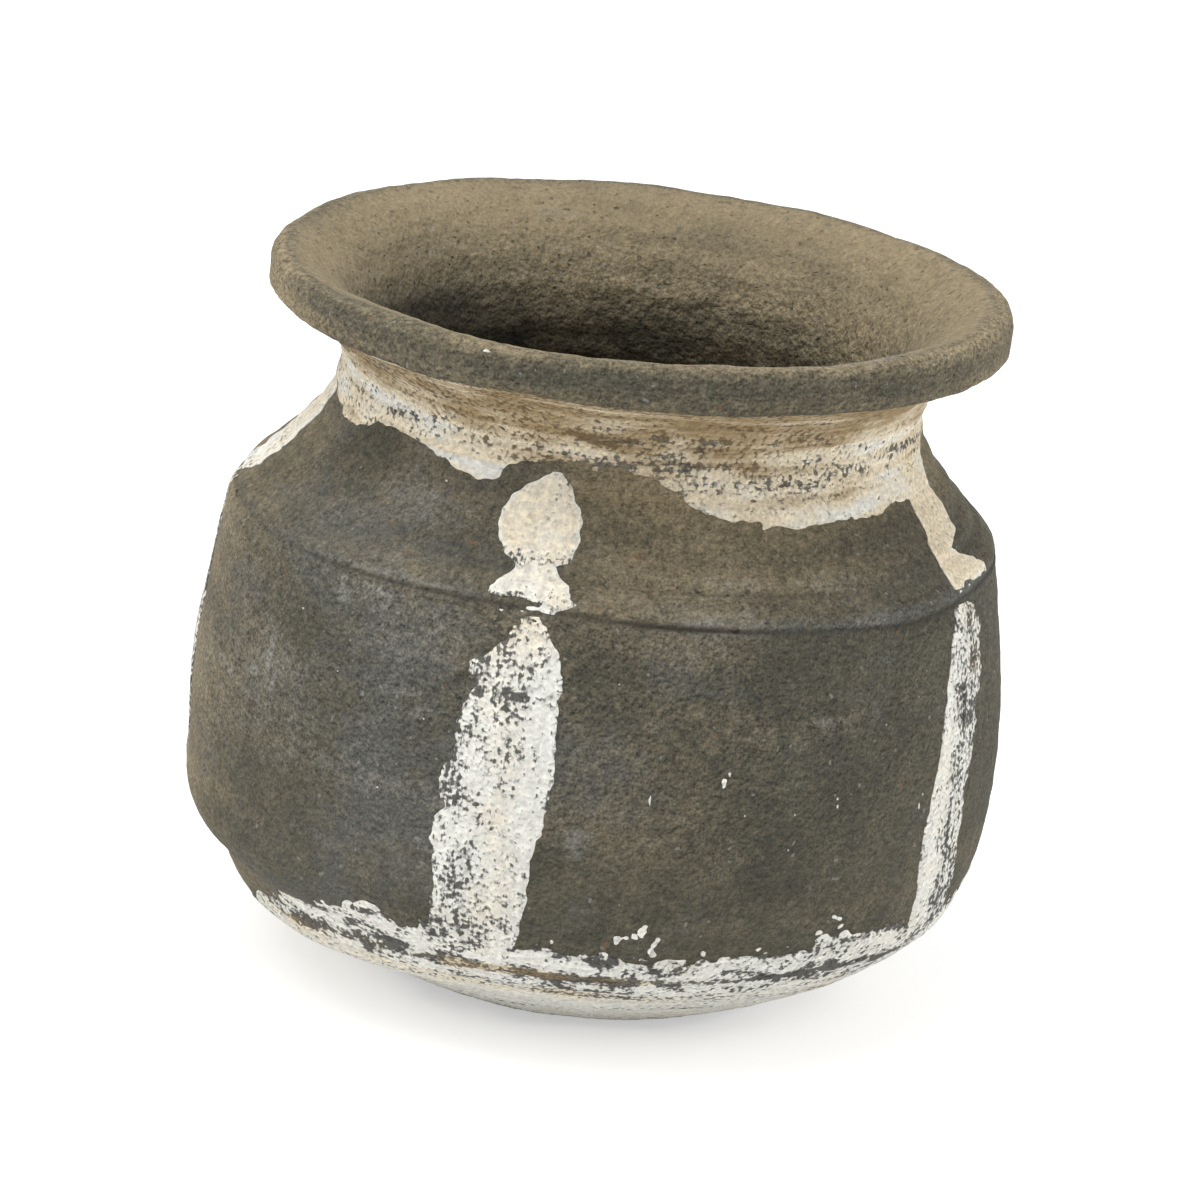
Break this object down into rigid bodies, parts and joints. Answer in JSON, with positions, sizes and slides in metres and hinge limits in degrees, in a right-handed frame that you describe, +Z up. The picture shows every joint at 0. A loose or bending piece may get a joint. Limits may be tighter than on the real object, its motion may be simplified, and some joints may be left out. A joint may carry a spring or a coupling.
{
  "type": "clay water pot",
  "caption": "Wide-mouthed clay water pot with a rolled rim, short neck, lapped shoulder and beaten belly, banded and striped with limewash.",
  "frame": {"origin": "centre of the flat foot, on the surface the pot stands on", "axes": "+Z up through the middle of the mouth, -Y towards the front with one stroke near its middle, +X to the right of it"},
  "size_m": [0.2541, 0.2532, 0.225],
  "materials": {
    "clay": "matte",
    "limewash": "matte"
  },
  "bodies": {
    "root": {"base_dish": "clay", "body_wall": "clay", "shoulder": "clay", "neck_collar": "clay", "rim": "clay", "limewash_base_coat": "limewash", "limewash_neck_band": "limewash", "limewash_daub_front": "limewash", "limewash_daub_right": "limewash", "limewash_daub_back_right": "limewash", "limewash_daub_back_left": "limewash", "limewash_daub_left": "limewash", "limewash_stripe_front": "limewash", "limewash_stripe_right": "limewash", "limewash_stripe_back_right": "limewash", "limewash_stripe_back_left": "limewash", "limewash_stripe_left": "limewash"}
  },
  "joints": []
}
